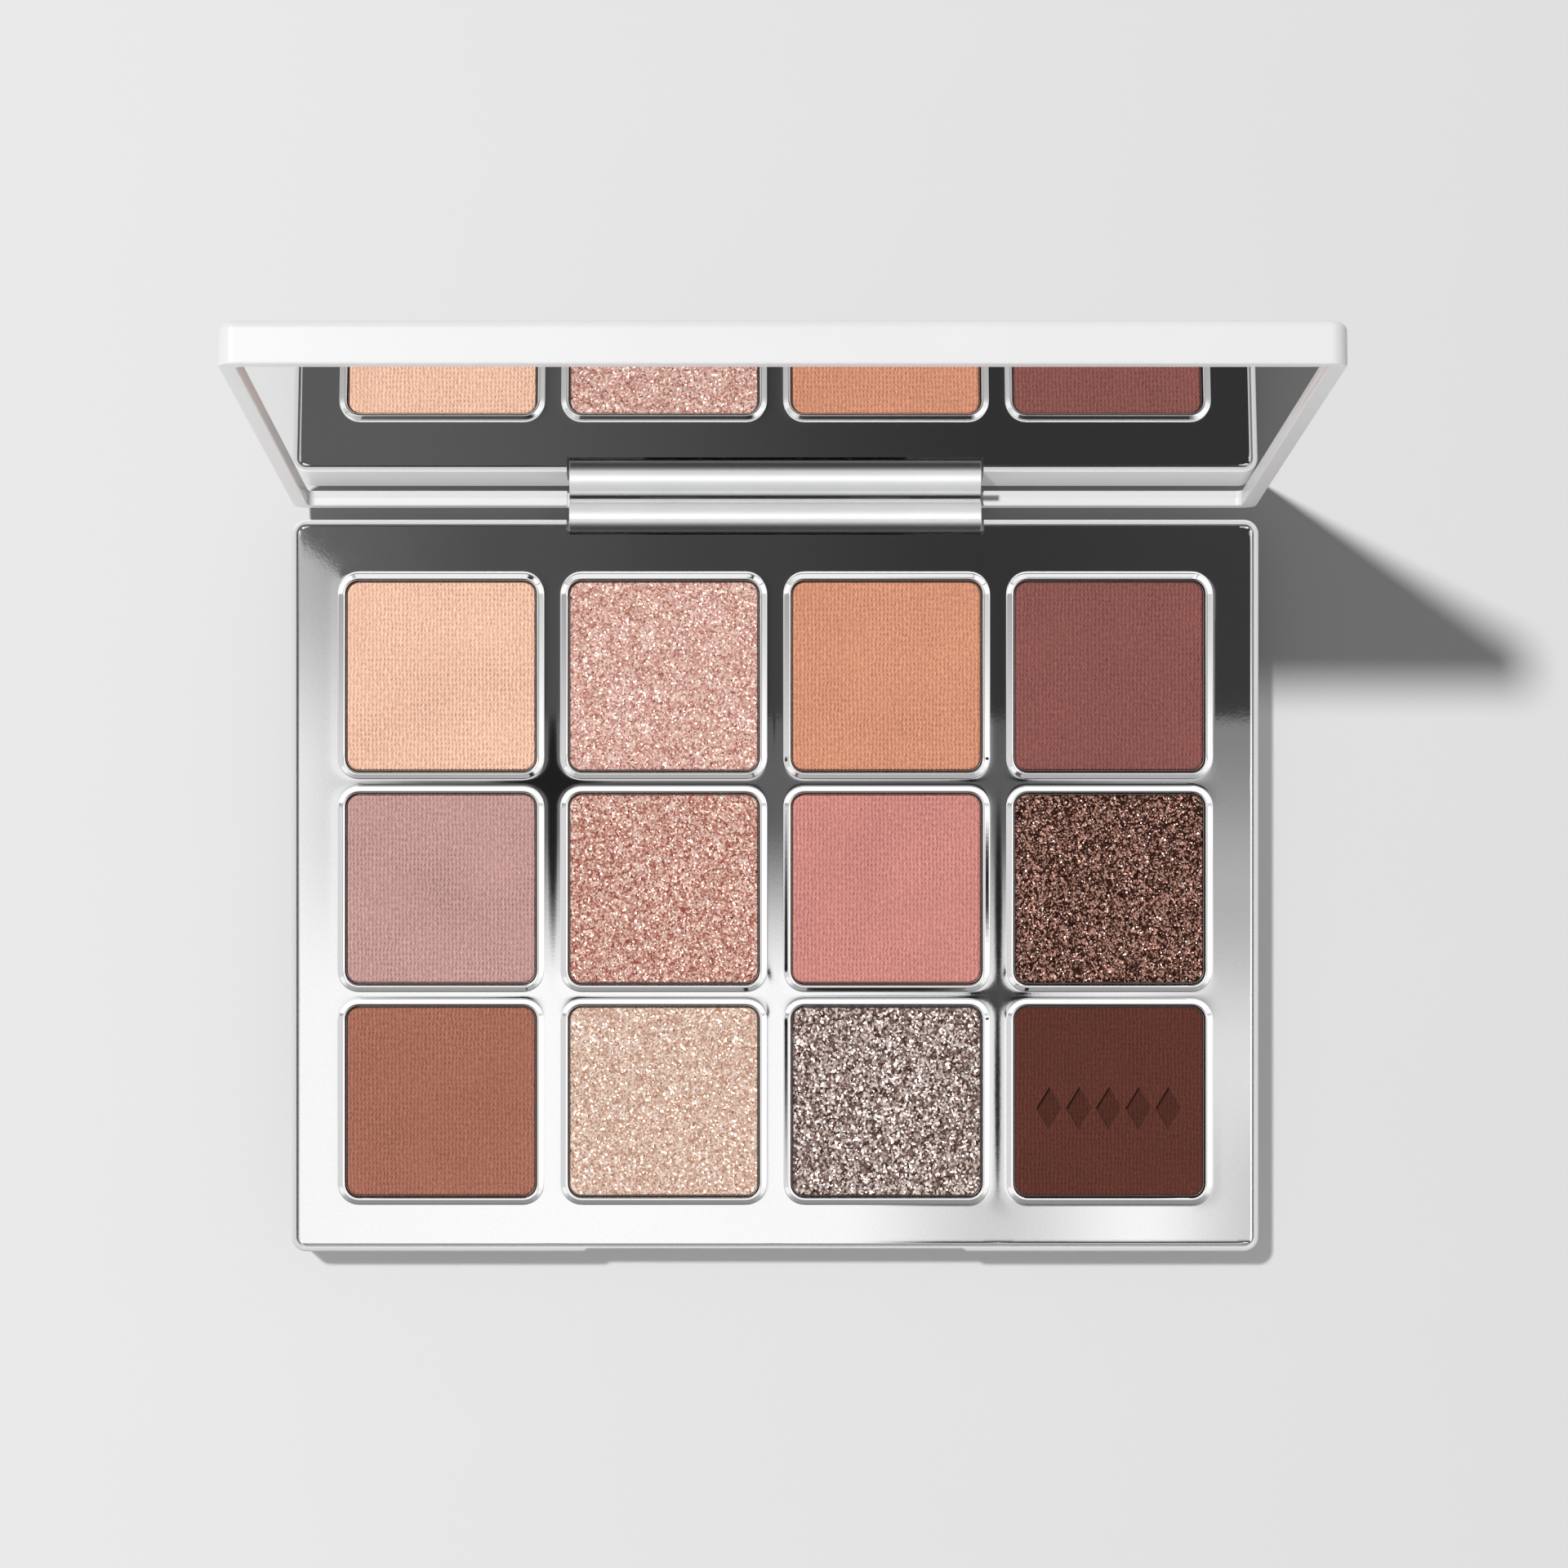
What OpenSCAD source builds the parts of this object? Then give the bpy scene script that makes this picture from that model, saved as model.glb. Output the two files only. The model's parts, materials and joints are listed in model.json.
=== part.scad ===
// Twelve-pan eyeshadow palette with a mirrored lid on a central barrel hinge.
// Origin: centre of the base's underside. +X runs along the hinge, +Y to the hinge side, +Z up.

/* [Base] */
// Width of base and lid
palette_w = 120; // [119:0.5:124]
// Depth of the base, front face to back face
base_d = 90.8; // [90:0.2:94]
// Height of the closed base
base_h = 7; // [6.8:0.1:8]
// Radius of the four upright corners
corner_r = 1.8; // [1.4:0.1:2.6]
// Thickness of the base's walls
wall_t = 1.2; // [1.1:0.1:1.3]
// Thickness of the base's floor
floor_t = 1.2; // [1:0.1:1.2]
// Width of the white edge left showing round the tray
rim_w = 0.6; // [0.5:0.1:0.7]
// Width of the thumb notch in the front edge
notch_w = 47.4; // [20:0.2:60]
// Depth of the thumb notch
notch_d = 0.3; // [0.2:0.05:0.5]

/* [Pans] */
// Side of a square well opening
well_w = 23.8; // [23:0.1:24]
// Distance between well centres along X
pitch_x = 27.66; // [27:0.02:28]
// Distance between well centres along Y
pitch_y = 26.41; // [26.2:0.01:27]
// Space between the back row's openings and the back face
back_margin = 7.5; // [7.2:0.1:7.6]
// Corner radius of a well opening
well_r = 1.7; // [1.2:0.1:3]
// Gap between a pan and its well, all round
pan_gap = 0.1; // [0.05:0.05:0.3]
// Wall thickness of a pressed metal pan
pan_t = 0.12; // [0.1:0.02:0.3]
// Height of the raised lip round each well
lip_h = 0.15; // [0.1:0.05:0.3]
// Width of the raised lip
lip_w = 0.6; // [0.4:0.05:0.8]

/* [Lid] */
// Angle of the lid from closed, as it is drawn
open_angle = 96.2; // [0:0.1:115]
// Thickness of the lid
lid_t = 4.8; // [4.8:0.1:5.6]
// How far the lid reaches behind the base when it is closed
lid_overhang = 2; // [2:0.1:2.4]
// Width of the lid's rim round the mirror
lid_rim_w = 1.9; // [1.9:0.1:2.4]
// Depth of the mirror below the rim
mirror_recess = 0.95; // [0.6:0.05:1]
// Thickness of the mirror glass
mirror_t = 1; // [0.9:0.1:1]

/* [Hinge] */
// Diameter of the hinge barrel
barrel_d = 4.36; // [4.2:0.02:4.4]
// Length of the hinge barrel
barrel_l = 51.2; // [48:0.1:56]
// Depth of the hinge axis below the base's top
axis_drop = 1.8; // [1.7:0.05:1.9]
// Diameter of the hinge pin
pin_d = 1.2; // [1:0.05:1.3]
// Radial clearance of the pin in the base's knuckles
pin_clearance = 0.03; // [0.02:0.01:0.06]

/* [Hidden] */
$fn = 64;
ARC_STEPS = 8;      // straight pieces in a quarter of a round corner
COLUMNS = 4;
ROWS = 3;
PAN_COUNT = COLUMNS * ROWS;
EPS = 0.01;         // lets a cut pass clear through a face
THROUGH = 1;        // how far a cutter stands out of the face that it opens
SHADES = [
    ["peach", [0.90, 0.60, 0.42]],
    ["pink_shimmer", [0.76, 0.50, 0.44]],
    ["tan", [0.75, 0.40, 0.25]],
    ["plum", [0.35, 0.16, 0.14]],
    ["mauve", [0.60, 0.40, 0.37]],
    ["rose_shimmer", [0.68, 0.40, 0.34]],
    ["coral", [0.70, 0.32, 0.28]],
    ["bronze_shimmer", [0.25, 0.13, 0.09]],
    ["terracotta", [0.45, 0.21, 0.15]],
    ["champagne_shimmer", [0.76, 0.58, 0.46]],
    ["silver_glitter", [0.45, 0.38, 0.36]],
    ["chocolate", [0.20, 0.08, 0.06]]
];
WHITE = [0.93, 0.93, 0.93];
CHROME = [0.75, 0.75, 0.76];
STEEL = [0.60, 0.60, 0.62];

// Tray and wells
seam = 0.15;                                // gap between the tray and the shell's rim
tray_t = 0.9;                               // thickness of the tray's top plate
tray_top = base_h - lip_h;
tray_seat = tray_top - tray_t;
tray_w = palette_w - 2 * (rim_w + seam);
tray_d = base_d - 2 * (rim_w + seam);
well_wall = 0.7;
well_floor_t = 0.6;
well_depth = 3.8;
well_floor = base_h - well_depth;
adhesive_t = 0.1;
pan_w = well_w - 2 * pan_gap;
pan_z = well_floor + adhesive_t;
pan_drop = 0.4;                             // the pan's edge stops this far under the tray's top
pan_h = tray_top - pan_drop - pan_z;
shadow_w = pan_w - 2 * pan_t;
shadow_drop = 0.05;                         // the powder's face lies this far under the pan's edge
back_row_y = base_d / 2 - back_margin - well_w / 2;
adhesive_d = 14;

// Magnets, one pair in the base's front strip and one pair in the lid above them
magnet = [10, 3, 2];
lid_magnet_t = 1.2;
magnet_x = 41.5;
magnet_inset = 3.5;                         // from the front face to the middle of the magnets
magnet_y = -base_d / 2 + magnet_inset;
magnet_post = [12, 4.2];
magnet_sunk = 1.2;                          // depth of a magnet in its post
magnet_cover = 0.15;                        // gap between a magnet and the tray over it
magnet_z = tray_seat - magnet_cover - magnet[2];

// Blank label, let in flush with the underside
label = [84, 56];
label_t = 0.12;
label_gap = 0.2;

// Hinge
axis_y = base_d / 2;
axis_z = base_h - axis_drop;
barrel_r = barrel_d / 2;
hinge_room = 0.3;                           // clearance round the barrel in the base's notch
arm_w = 7;                                  // width of a hinge arm and of its knuckle
arm_x = 13;                                 // distance of each arm from the middle
arm_front = -0.25;                          // an arm's two faces, measured from the axis in Y
arm_back = 0.75;
knuckle_r = 1.5;
pocket_r = 1.7;                             // room in the barrel round a knuckle
pocket_side = 0.25;                         // room at each side of a knuckle
pocket_w = arm_w + 2 * pocket_side;
pin_inset = 0.4;                            // the pin's ends lie this far inside the barrel's
foot_t = 1;
foot_front = 9.4;                           // how far the bracket's foot reaches inwards from the axis
foot_tie = [2 * arm_x + arm_w, 7];          // plate that joins the two feet
stud_d = 1.6;
slot_from = 36;                             // the barrel's slot, in degrees from straight up when closed
slot_to = 190.5;
slot_steps = 12;

// Lid, drawn closed about the hinge axis
lid_top_t = 1.2;                            // thickness of the cover's outer plate
lid_gap = 0.1;                              // gap between the two rims when closed
lid_z = axis_drop + lid_gap;                // height of the lid's rim over the axis
lid_d = base_d + lid_overhang;
inner_back = lid_overhang - lid_rim_w;      // back end of the pocket behind the rim
inner_front = -base_d + lid_rim_w;
inner_w = palette_w - 2 * lid_rim_w;
inner_top = lid_z + lid_t - lid_top_t;
inner_r = 0.8;
mirror_z = lid_z + mirror_recess;
mirror_gap = 0.15;                          // groove between the glass and the rim
mirror_r = 0.7;
glue_t = 0.15;
glue_inset = 3;                             // the glue stops this far inside the pocket
carrier_z = mirror_z + mirror_t + glue_t;
carrier_plate_t = 0.8;
carrier_gap = 0.1;
carrier_r = 0.6;
carrier_front = 7;                          // solid strip of the carrier that holds the magnets
rib_t = 1;
flange_t = 1.2;                             // plate and legs that tie the barrel to the cover
flange_w = 50;
flange_front = -8;

// ---- shapes used more than once ----

// A quarter arc about (x, y), starting at angle a
function quarter(x, y, r, a) = [
    for (i = [0:ARC_STEPS])
        [x + r * cos(a + 90 * i / ARC_STEPS), y + r * sin(a + 90 * i / ARC_STEPS)]
];

// Outline of a rectangle with round corners, centred on the origin
function round_outline(w, d, r) = concat(
    quarter(w / 2 - r, d / 2 - r, r, 0),
    quarter(-w / 2 + r, d / 2 - r, r, 90),
    quarter(-w / 2 + r, -d / 2 + r, r, 180),
    quarter(w / 2 - r, -d / 2 + r, r, 270)
);

// A round-cornered slab from z0 up to z1
module slab(w, d, r, z0, z1) {
    translate([0, 0, z0])
        linear_extrude(z1 - z0)
            polygon(round_outline(w, d, r));
}

// A box from its lowest corner to its highest
module block(low, high) {
    translate(low)
        cube(high - low);
}

// A cylinder along X, centred on x = 0
module rod_x(r, l) {
    rotate([0, 90, 0])
        cylinder(r = r, h = l, center = true);
}

// Places its children at the centre of pan number i, counted from the back left
module at_pan(i) {
    translate([
        (i % COLUMNS - (COLUMNS - 1) / 2) * pitch_x,
        back_row_y - floor(i / COLUMNS) * pitch_y,
        0
    ])
        children();
}

// Turns the lid's parts, drawn closed about the axis, to the open angle
module on_lid() {
    translate([0, axis_y, axis_z])
        rotate([-open_angle, 0, 0])
            children();
}

// Repeats its children at both hinge arms
module at_arms() {
    for (side = [-1, 1])
        translate([side * arm_x, 0, 0])
            children();
}

// Repeats its children at both magnets
module at_magnets() {
    for (side = [-1, 1])
        translate([side * magnet_x, 0, 0])
            children();
}

// ---- base ----

module base_shell() color(WHITE) {
    difference() {
        slab(palette_w, base_d, corner_r, 0, base_h);
        slab(palette_w - 2 * wall_t, base_d - 2 * wall_t, corner_r - rim_w, floor_t, tray_seat + EPS);
        slab(palette_w - 2 * rim_w, base_d - 2 * rim_w, corner_r - rim_w, tray_seat, base_h + THROUGH);
        thumb_notch();
        hinge_clearance();
        translate([0, axis_y, 0])
            at_arms()
                block([-pocket_w / 2, -wall_t - EPS, floor_t], [pocket_w / 2, THROUGH, axis_z]);
        slab(label[0], label[1], corner_r, -THROUGH, label_t);
    }
    translate([0, magnet_y, 0])
        at_magnets()
            magnet_holder();
    bracket_studs(floor_t, floor_t + foot_t);
}

// Shallow step in the front edge that a thumb catches
module thumb_notch() {
    block([-notch_w / 2, -base_d / 2 - THROUGH, base_h / 2],
          [notch_w / 2, -base_d / 2 + notch_d, base_h + THROUGH]);
}

// Round channel that the barrel turns in
module hinge_clearance() {
    translate([0, axis_y, axis_z])
        rod_x(barrel_r + hinge_room, barrel_l + 2 * hinge_room);
}

// Post with a pocket for one magnet
module magnet_holder() {
    difference() {
        block([-magnet_post[0] / 2, -magnet_post[1] / 2, floor_t - EPS],
              [magnet_post[0] / 2, magnet_post[1] / 2, magnet_z + magnet_sunk]);
        block([-magnet[0] / 2, -magnet[1] / 2, magnet_z], [magnet[0] / 2, magnet[1] / 2, base_h]);
    }
}

// Studs that the hinge bracket is staked on
module bracket_studs(z0, z1) {
    for (side = [-1, 1])
        translate([side * arm_x / 2, axis_y - foot_front + foot_tie[1] / 2, z0 - EPS])
            cylinder(d = stud_d, h = z1 - z0 + EPS);
}

module pan_tray() color(CHROME) {
    difference() {
        union() {
            slab(tray_w, tray_d, corner_r - rim_w, tray_seat, tray_top);
            for (i = [0:PAN_COUNT - 1])
                at_pan(i) {
                    slab(well_w + 2 * well_wall, well_w + 2 * well_wall, well_r + well_wall,
                         well_floor - well_floor_t, tray_top - EPS);
                    slab(well_w + 2 * lip_w, well_w + 2 * lip_w, well_r + lip_w,
                         tray_seat + EPS, tray_top + lip_h);
                }
        }
        for (i = [0:PAN_COUNT - 1])
            at_pan(i)
                slab(well_w, well_w, well_r, well_floor, base_h + THROUGH);
        hinge_clearance();
    }
}

// Metal bracket whose two knuckles carry the pin
module hinge_bracket() color(STEEL) {
    difference() {
        union() {
            translate([0, axis_y, 0])
                at_arms() {
                    translate([0, 0, axis_z])
                        rod_x(knuckle_r, arm_w);
                    block([-arm_w / 2, arm_front, floor_t], [arm_w / 2, arm_back, axis_z]);
                    block([-arm_w / 2, -foot_front, floor_t],
                          [arm_w / 2, arm_front + EPS, floor_t + foot_t]);
                }
            translate([0, axis_y - foot_front, floor_t])
                block([-foot_tie[0] / 2, 0, 0], [foot_tie[0] / 2, foot_tie[1], foot_t]);
        }
        translate([0, axis_y, axis_z])
            rod_x(pin_d / 2 + pin_clearance, barrel_l);
        bracket_studs(floor_t, floor_t + foot_t + THROUGH);
    }
}

module base_magnets() color(STEEL)
    translate([0, magnet_y, magnet_z])
        at_magnets()
            block([-magnet[0] / 2, -magnet[1] / 2, 0], [magnet[0] / 2, magnet[1] / 2, magnet[2]]);

module underside_label() color("white")
    slab(label[0] - 2 * label_gap, label[1] - 2 * label_gap, corner_r - label_gap, 0, label_t);

// One dot of glue under each pan
module pan_adhesive() color("gray")
    for (i = [0:PAN_COUNT - 1])
        at_pan(i)
            translate([0, 0, well_floor])
                cylinder(d = adhesive_d, h = adhesive_t);

// ---- pans and pressed powders ----

module pan(i) color(STEEL)
    at_pan(i)
        difference() {
            slab(pan_w, pan_w, well_r - pan_gap, pan_z, pan_z + pan_h);
            slab(shadow_w, shadow_w, well_r - pan_gap - pan_t, pan_z + pan_t, base_h + THROUGH);
        }

module shadow(i) color(SHADES[i][1])
    at_pan(i)
        slab(shadow_w, shadow_w, well_r - pan_gap - pan_t, pan_z + pan_t, pan_z + pan_h - shadow_drop);

// ---- lid ----

// A slab of the lid, from y0 back to y1
module lid_slab(w, y0, y1, r, z0, z1) {
    translate([0, (y0 + y1) / 2, 0])
        slab(w, y1 - y0, r, z0, z1);
}

module lid_cover() color(WHITE) on_lid() {
    difference() {
        lid_slab(palette_w, -base_d, lid_overhang, corner_r, lid_z, lid_z + lid_t);
        lid_slab(inner_w, inner_front, inner_back, inner_r, lid_z - THROUGH, inner_top);
        rod_x(barrel_r + hinge_room, barrel_l + 2 * hinge_room);
        block([-flange_w / 2 - carrier_gap, 0, 0],
              [flange_w / 2 + carrier_gap, inner_back + flange_t + carrier_gap, inner_top]);
    }
    cover_studs();
}

// Studs that the barrel's flange is staked on
module cover_studs() {
    for (side = [-1, 1])
        translate([side * arm_x, flange_front / 2, inner_top - flange_t])
            cylinder(d = stud_d, h = flange_t + EPS);
}

// Plate with ribs that backs the mirror
module mirror_carrier() color(WHITE) on_lid() {
    difference() {
        lid_slab(inner_w - 2 * carrier_gap, inner_front + carrier_gap, inner_back - mirror_gap, carrier_r,
                 carrier_z, inner_top);
        carrier_bays();
        block([-flange_w / 2 - carrier_gap, flange_front - carrier_gap, inner_top - flange_t],
              [flange_w / 2 + carrier_gap, THROUGH, inner_top + THROUGH]);
        translate([0, lid_magnet_y(), 0])
            at_magnets()
                block([-magnet[0] / 2, -magnet[1] / 2, inner_top - lid_magnet_t],
                      [magnet[0] / 2, magnet[1] / 2, inner_top + THROUGH]);
    }
}

// Y of the lid's magnets from the axis: over those of the base when closed
function lid_magnet_y() = magnet_y - axis_y;

// Open bays between the carrier's ribs
module carrier_bays() {
    bays = [4, 3];
    first = [-inner_w / 2 + rib_t, inner_front + carrier_front];
    area = [inner_w - 2 * rib_t, flange_front - 2 * rib_t - first[1]];
    for (i = [0:bays[0] - 1], j = [0:bays[1] - 1]) {
        size = [area[0] / bays[0], area[1] / bays[1]];
        low = first + [i * size[0], j * size[1]] + [rib_t / 2, rib_t / 2];
        block([low[0], low[1], carrier_z + carrier_plate_t],
              [low[0] + size[0] - rib_t, low[1] + size[1] - rib_t, inner_top + THROUGH]);
    }
}

module mirror_adhesive() color("gray") on_lid()
    lid_slab(inner_w - 2 * glue_inset, inner_front + glue_inset, inner_back - glue_inset, carrier_r,
             mirror_z + mirror_t, carrier_z);

module mirror_glass() color([0.80, 0.85, 0.88]) on_lid()
    lid_slab(inner_w - 2 * mirror_gap, inner_front + mirror_gap, inner_back - mirror_gap, mirror_r,
             mirror_z, mirror_z + mirror_t);

module lid_magnets() color(STEEL) on_lid()
    translate([0, lid_magnet_y(), inner_top - lid_magnet_t])
        at_magnets()
            block([-magnet[0] / 2, -magnet[1] / 2, 0], [magnet[0] / 2, magnet[1] / 2, lid_magnet_t]);

// ---- hinge ----

// Barrel with a flange into the lid, and a slotted pocket round each of the bracket's knuckles
module hinge_barrel() color(CHROME) on_lid() {
    difference() {
        union() {
            rod_x(barrel_r, barrel_l);
            barrel_legs();
            block([-flange_w / 2, flange_front, inner_top - flange_t],
                  [flange_w / 2, inner_back + flange_t, inner_top]);
        }
        rod_x(pin_d / 2, barrel_l + THROUGH);
        at_arms() {
            rod_x(pocket_r, pocket_w);
            knuckle_slot();
        }
        cover_studs();
    }
}

// Legs from the barrel to its flange, clear of the hinge arms
module barrel_legs() {
    inner = arm_x - pocket_w / 2;
    outer = arm_x + pocket_w / 2;
    for (span = [[-flange_w / 2, -outer], [-inner, inner], [outer, flange_w / 2]])
        block([span[0], inner_back, 0], [span[1], inner_back + flange_t, inner_top - EPS]);
}

// Wedge that lets an arm out of the barrel from closed to fully open
module knuckle_slot() {
    reach = barrel_r + THROUGH;
    step = (slot_to - slot_from) / slot_steps;
    translate([-pocket_w / 2, 0, 0])
        rotate([90, 0, 90])
            linear_extrude(pocket_w)
                polygon(concat([[0, 0]], [for (k = [0:slot_steps])
                    reach * [sin(slot_from + k * step), cos(slot_from + k * step)]]));
}

module hinge_pin() color(STEEL) on_lid()
    rod_x(pin_d / 2, barrel_l - 2 * pin_inset);

// ---- one line per node ----

base_shell();
pan_tray();
hinge_bracket();
base_magnets();
underside_label();
pan_adhesive();
for (i = [0:PAN_COUNT - 1]) pan(i);
for (i = [0:PAN_COUNT - 1]) shadow(i);
lid_cover();
mirror_carrier();
mirror_adhesive();
mirror_glass();  // mirror
lid_magnets();
hinge_barrel();
hinge_pin();
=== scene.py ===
"""Looks of the eyeshadow palette: white shells, chrome tray and hinge, mirror, pressed powders."""
import json
import math

import bmesh
import bpy
import numpy as np
from mathutils import Matrix, Vector


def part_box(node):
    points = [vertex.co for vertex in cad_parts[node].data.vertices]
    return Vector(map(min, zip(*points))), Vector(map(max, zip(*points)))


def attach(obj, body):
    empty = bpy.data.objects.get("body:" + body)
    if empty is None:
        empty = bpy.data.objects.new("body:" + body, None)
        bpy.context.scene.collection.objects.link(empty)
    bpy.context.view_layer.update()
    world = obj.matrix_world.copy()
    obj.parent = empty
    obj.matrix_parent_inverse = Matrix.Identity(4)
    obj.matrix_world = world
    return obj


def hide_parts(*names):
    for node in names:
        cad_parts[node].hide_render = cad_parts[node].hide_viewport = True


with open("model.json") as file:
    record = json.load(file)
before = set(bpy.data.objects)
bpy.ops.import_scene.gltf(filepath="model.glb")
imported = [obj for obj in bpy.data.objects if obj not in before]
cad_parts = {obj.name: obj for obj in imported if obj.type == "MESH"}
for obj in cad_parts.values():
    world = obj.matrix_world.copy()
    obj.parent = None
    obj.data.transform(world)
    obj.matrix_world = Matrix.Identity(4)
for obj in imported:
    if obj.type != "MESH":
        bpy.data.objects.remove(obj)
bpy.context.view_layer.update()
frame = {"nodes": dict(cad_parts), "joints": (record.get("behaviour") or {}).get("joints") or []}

MM = 0.001

# ---- sizes, in millimetres, read from the frame ----


def box_mm(node):
    """A CAD node's lowest and highest corners at rest."""
    low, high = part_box(node)
    return np.array(low) / MM, np.array(high) / MM


BASE_LOW, BASE_HIGH = box_mm("base_shell")
BASE_W, BASE_D, BASE_H = BASE_HIGH - BASE_LOW
TRAY_LOW, TRAY_HIGH = box_mm("pan_tray")
TRAY_W, TRAY_D = (TRAY_HIGH - TRAY_LOW)[:2]
PAN_BOXES = [box_mm(f"pan_{i + 1}") for i in range(12)]
PAN_W = PAN_BOXES[0][1][0] - PAN_BOXES[0][0][0]
HINGE = next(j for j in frame["joints"] if j["name"] == "lid_hinge")
AXIS = np.array(HINGE["pos_m"]) / MM
OPEN_ANGLE = -math.radians(HINGE["range_deg"][0])
BARREL_L = (box_mm("hinge_barrel")[1] - box_mm("hinge_barrel")[0])[0]

# Sizes of the CAD model that its boxes don't give
CORNER_R = 1.8
RIM_W = 0.6
WALL_T = 1.2
FLOOR_T = 1.2
TRAY_SEAT = 5.95
TRAY_TOP = 6.85
LIP_H = 0.15
WELL_W = 23.8
WELL_R = 1.7
WELL_WALL = 0.7
WELL_FLOOR = 3.2
PAN_T = 0.12
NOTCH_W = 47.4
NOTCH_D = 0.3
BARREL_R = 2.18
BARREL_ROOM = 0.3
BARREL_SHY = 0.05    # gap between the barrel's shoulder and the mirror
SHOULDER_END = 1.3   # the shoulder fades out this far below the axis
PIN_R = 0.6
ARM_X = 13.0
POCKET_W = 7.5
POCKET_R = 1.7
SLOT_DEGREES = (36.0, 190.5)
LABEL = (84.0, 56.0, 0.12)
MAGNET = (10.0, 3.0)
MAGNET_POST = (12.0, 4.2, 5.0, 3.8)
LID_T = 4.8
LID_OVERHANG = 2.0
LID_RIM_Z = 1.9
LID_RIM_W = 1.9
LID_TOP_T = 1.2
FLANGE_W = 50.0
FLANGE_FRONT = -8.0
FLANGE_T = 1.2
MIRROR_RECESS = 0.95
MIRROR_T = 1.0
MIRROR_GAP = 0.04

SHADES = ["peach", "pink_shimmer", "tan", "plum", "mauve", "rose_shimmer", "coral", "bronze_shimmer",
          "terracotta", "champagne_shimmer", "silver_glitter", "chocolate"]

# ---- mesh helpers ----


def outline(w, d, r, arc=10, cuts=()):
    """Points of a round-cornered rectangle, anticlockwise; cuts add points at x = +-cut on the long sides."""
    points = []
    corners = [(1, 1, 0), (-1, 1, 90), (-1, -1, 180), (1, -1, 270)]
    for k, (sx, sy, start) in enumerate(corners):
        for i in range(arc + 1):
            a = math.radians(start + 90 * i / arc)
            points.append((sx * (w / 2 - r) + r * math.cos(a), sy * (d / 2 - r) + r * math.sin(a)))
        if k == 0:
            points += [(x, d / 2) for x in sorted([c for c in cuts] + [-c for c in cuts], reverse=True)]
        if k == 2:
            points += [(x, -d / 2) for x in sorted([c for c in cuts] + [-c for c in cuts])]
    return np.array(points)


def ring(points, z):
    """A flat outline lifted to height z."""
    return np.column_stack([points, np.full(len(points), z)])


def arc_profile(r, start, end, steps=5):
    """Unit steps round a fillet: (cos, sin) times r between two angles in degrees."""
    angles = np.radians(np.linspace(start, end, steps))
    return [(r * math.cos(a), r * math.sin(a)) for a in angles]


def loft(rings, cap_first=True, cap_last=True, closed=False):
    """Vertices and faces of a skin over rings with the same number of points."""
    n = len(rings[0])
    verts = np.concatenate(rings)
    faces = []
    spans = len(rings) if closed else len(rings) - 1
    for k in range(spans):
        a, b = k * n, ((k + 1) % len(rings)) * n
        faces += [(a + i, a + (i + 1) % n, b + (i + 1) % n, b + i) for i in range(n)]
    if cap_first and not closed:
        faces.append(tuple(reversed(range(n))))
    if cap_last and not closed:
        faces.append(tuple(range((len(rings) - 1) * n, len(rings) * n)))
    return verts, faces


def joined(*parts):
    """One vertex and face list from several."""
    verts, faces, start = [], [], 0
    for v, f in parts:
        verts.append(np.asarray(v))
        faces += [tuple(i + start for i in face) for face in f]
        start += len(v)
    return np.concatenate(verts), faces


def box_mesh(low, high):
    """A plain box between two corners, for cutters and hidden blocks."""
    size = np.array(high) - np.array(low)
    corners = np.array([(0, 0), (1, 0), (1, 1), (0, 1)])
    return loft([np.column_stack([corners * size[:2], np.full(4, z)]) + low for z in (0, size[2])])


def tube_along_x(r, x0, x1, centre, segments=96):
    """A solid rod along X about (y, z) = centre."""
    angles = np.linspace(0, 2 * math.pi, segments, endpoint=False)
    circle = np.column_stack([np.cos(angles) * r + centre[0], np.sin(angles) * r + centre[1]])
    return loft([np.column_stack([np.full(segments, x), circle]) for x in (x0, x1)])


def barrel_channel(centre):
    """The room that other pieces leave round the barrel, about (y, z) = centre."""
    side = BARREL_L / 2 + BARREL_ROOM
    return tube_along_x(BARREL_R + BARREL_ROOM, -side, side, centre)


def make(name, parts, material=None, sharp=32, smooth=True):
    """An object from vertices in millimetres; edges sharper than the angle stay sharp."""
    verts, faces = parts
    mesh = bpy.data.meshes.new(name)
    mesh.from_pydata((np.asarray(verts) * MM).tolist(), [], [list(f) for f in faces])
    mesh.validate()
    obj = bpy.data.objects.new(name, mesh)
    bpy.context.scene.collection.objects.link(obj)
    outward(mesh)
    if material:
        mesh.materials.append(material)
    if smooth:
        soften(obj, sharp)
    return obj


def outward(mesh):
    """Turns the faces of a closed mesh outwards."""
    bm = bmesh.new()
    bm.from_mesh(mesh)
    bmesh.ops.recalc_face_normals(bm, faces=bm.faces)
    bm.to_mesh(mesh)
    bm.free()


def soften(obj, sharp):
    """Smooth shading with sharp edges kept and flat faces weighted, so that flats stay flat."""
    mesh = obj.data
    mesh.polygons.foreach_set("use_smooth", [True] * len(mesh.polygons))
    mesh.set_sharp_from_angle(angle=math.radians(sharp))
    if "weighted" not in obj.modifiers:
        weighted = obj.modifiers.new("weighted", "WEIGHTED_NORMAL")
        weighted.keep_sharp = True
        weighted.weight = 100


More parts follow.
